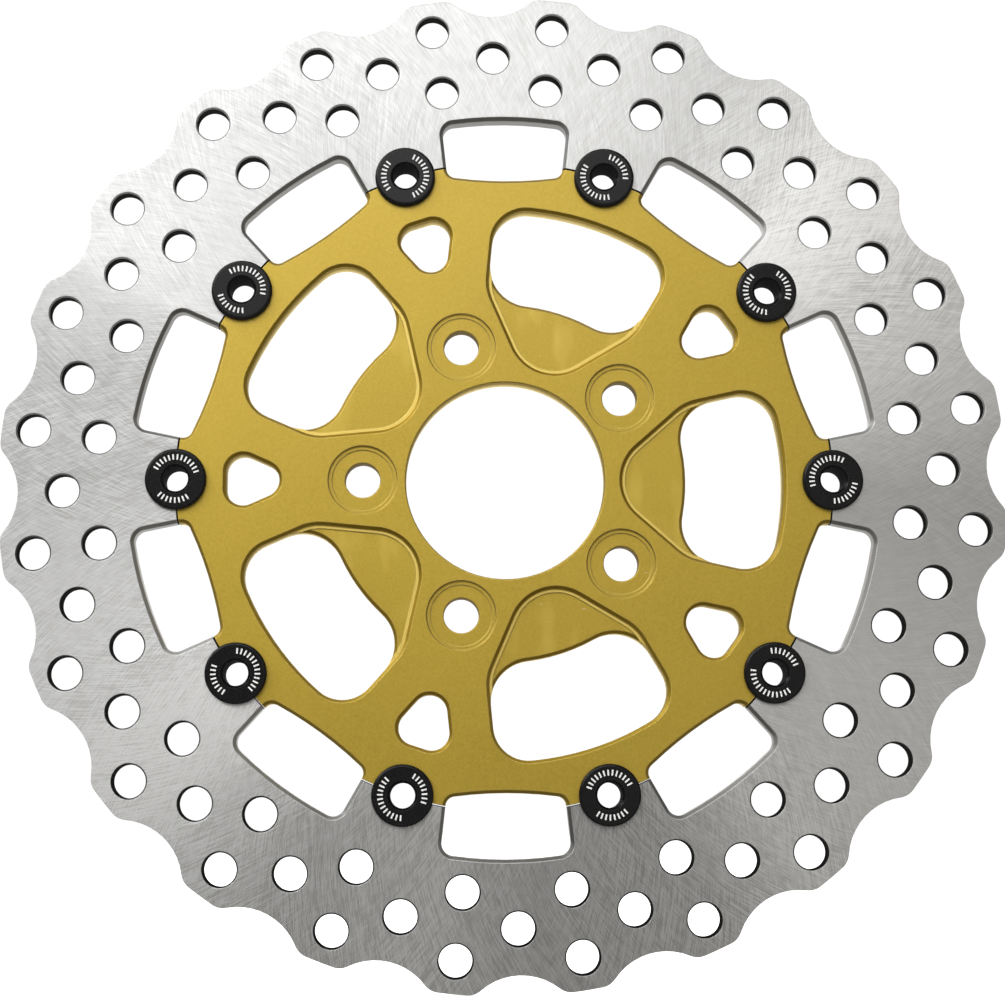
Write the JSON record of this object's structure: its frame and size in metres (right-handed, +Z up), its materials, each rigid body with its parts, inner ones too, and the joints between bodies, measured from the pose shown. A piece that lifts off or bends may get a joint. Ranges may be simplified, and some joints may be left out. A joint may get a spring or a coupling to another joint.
{
  "type": "brake disc rotor",
  "caption": "Floating motorcycle brake disc: a drilled, lobed steel friction ring held by turned bobbins on a gold anodised spider carrier with a bolted hub flange.",
  "frame": {"origin": "centre of the hub bore, in the plane of the carrier's back face, which bolts to the wheel hub", "axes": "+Y along the wheel axis from the outer face towards the hub; +Z up; the outer face looks towards -Y"},
  "size_m": [0.2912, 0.0104, 0.2912],
  "materials": {
    "ground_steel": "surface-ground stainless steel, satin",
    "gold_anodised": "gold anodised, fine matte",
    "black_anodised": "black anodised, satin",
    "spring_steel": "bright rolled spring steel",
    "plated_steel": "zinc plated, satin",
    "blackened_spring_steel": "phosphated, dark"
  },
  "bodies": {
    "carrier": {"carrier": "gold_anodised"},
    "ring": {"friction_ring": "ground_steel"},
    "bobbin_01": {"bobbin_01": "black_anodised", "wave_washer_01": "spring_steel", "flat_washer_01": "plated_steel", "circlip_01": "blackened_spring_steel"},
    "bobbin_02": {"bobbin_02": "black_anodised", "wave_washer_02": "spring_steel", "flat_washer_02": "plated_steel", "circlip_02": "blackened_spring_steel"},
    "bobbin_03": {"bobbin_03": "black_anodised", "wave_washer_03": "spring_steel", "flat_washer_03": "plated_steel", "circlip_03": "blackened_spring_steel"},
    "bobbin_04": {"bobbin_04": "black_anodised", "wave_washer_04": "spring_steel", "flat_washer_04": "plated_steel", "circlip_04": "blackened_spring_steel"},
    "bobbin_05": {"bobbin_05": "black_anodised", "wave_washer_05": "spring_steel", "flat_washer_05": "plated_steel", "circlip_05": "blackened_spring_steel"},
    "bobbin_06": {"bobbin_06": "black_anodised", "wave_washer_06": "spring_steel", "flat_washer_06": "plated_steel", "circlip_06": "blackened_spring_steel"},
    "bobbin_07": {"bobbin_07": "black_anodised", "wave_washer_07": "spring_steel", "flat_washer_07": "plated_steel", "circlip_07": "blackened_spring_steel"},
    "bobbin_08": {"bobbin_08": "black_anodised", "wave_washer_08": "spring_steel", "flat_washer_08": "plated_steel", "circlip_08": "blackened_spring_steel"},
    "bobbin_09": {"bobbin_09": "black_anodised", "wave_washer_09": "spring_steel", "flat_washer_09": "plated_steel", "circlip_09": "blackened_spring_steel"},
    "bobbin_10": {"bobbin_10": "black_anodised", "wave_washer_10": "spring_steel", "flat_washer_10": "plated_steel", "circlip_10": "blackened_spring_steel"}
  },
  "joints": [
    {"name": "ring_float", "type": "slide", "parent": "carrier", "child": "ring", "axis": [0, 1, 0], "range_m": [0, 0.0003]},
    {"name": "bobbin_01_turn", "type": "hinge", "parent": "carrier", "child": "bobbin_01", "pos_m": [0.095, -0.003, 0], "axis": [0, -1, 0], "continuous": true},
    {"name": "bobbin_02_turn", "type": "hinge", "parent": "carrier", "child": "bobbin_02", "pos_m": [0.07686, -0.003, 0.05584], "axis": [0, -1, 0], "continuous": true},
    {"name": "bobbin_03_turn", "type": "hinge", "parent": "carrier", "child": "bobbin_03", "pos_m": [0.02936, -0.003, 0.09035], "axis": [0, -1, 0], "continuous": true},
    {"name": "bobbin_04_turn", "type": "hinge", "parent": "carrier", "child": "bobbin_04", "pos_m": [-0.02936, -0.003, 0.09035], "axis": [0, -1, 0], "continuous": true},
    {"name": "bobbin_05_turn", "type": "hinge", "parent": "carrier", "child": "bobbin_05", "pos_m": [-0.07686, -0.003, 0.05584], "axis": [0, -1, 0], "continuous": true},
    {"name": "bobbin_06_turn", "type": "hinge", "parent": "carrier", "child": "bobbin_06", "pos_m": [-0.095, -0.003, 0], "axis": [0, -1, 0], "continuous": true},
    {"name": "bobbin_07_turn", "type": "hinge", "parent": "carrier", "child": "bobbin_07", "pos_m": [-0.07686, -0.003, -0.05584], "axis": [0, -1, 0], "continuous": true},
    {"name": "bobbin_08_turn", "type": "hinge", "parent": "carrier", "child": "bobbin_08", "pos_m": [-0.02936, -0.003, -0.09035], "axis": [0, -1, 0], "continuous": true},
    {"name": "bobbin_09_turn", "type": "hinge", "parent": "carrier", "child": "bobbin_09", "pos_m": [0.02936, -0.003, -0.09035], "axis": [0, -1, 0], "continuous": true},
    {"name": "bobbin_10_turn", "type": "hinge", "parent": "carrier", "child": "bobbin_10", "pos_m": [0.07686, -0.003, -0.05584], "axis": [0, -1, 0], "continuous": true}
  ]
}
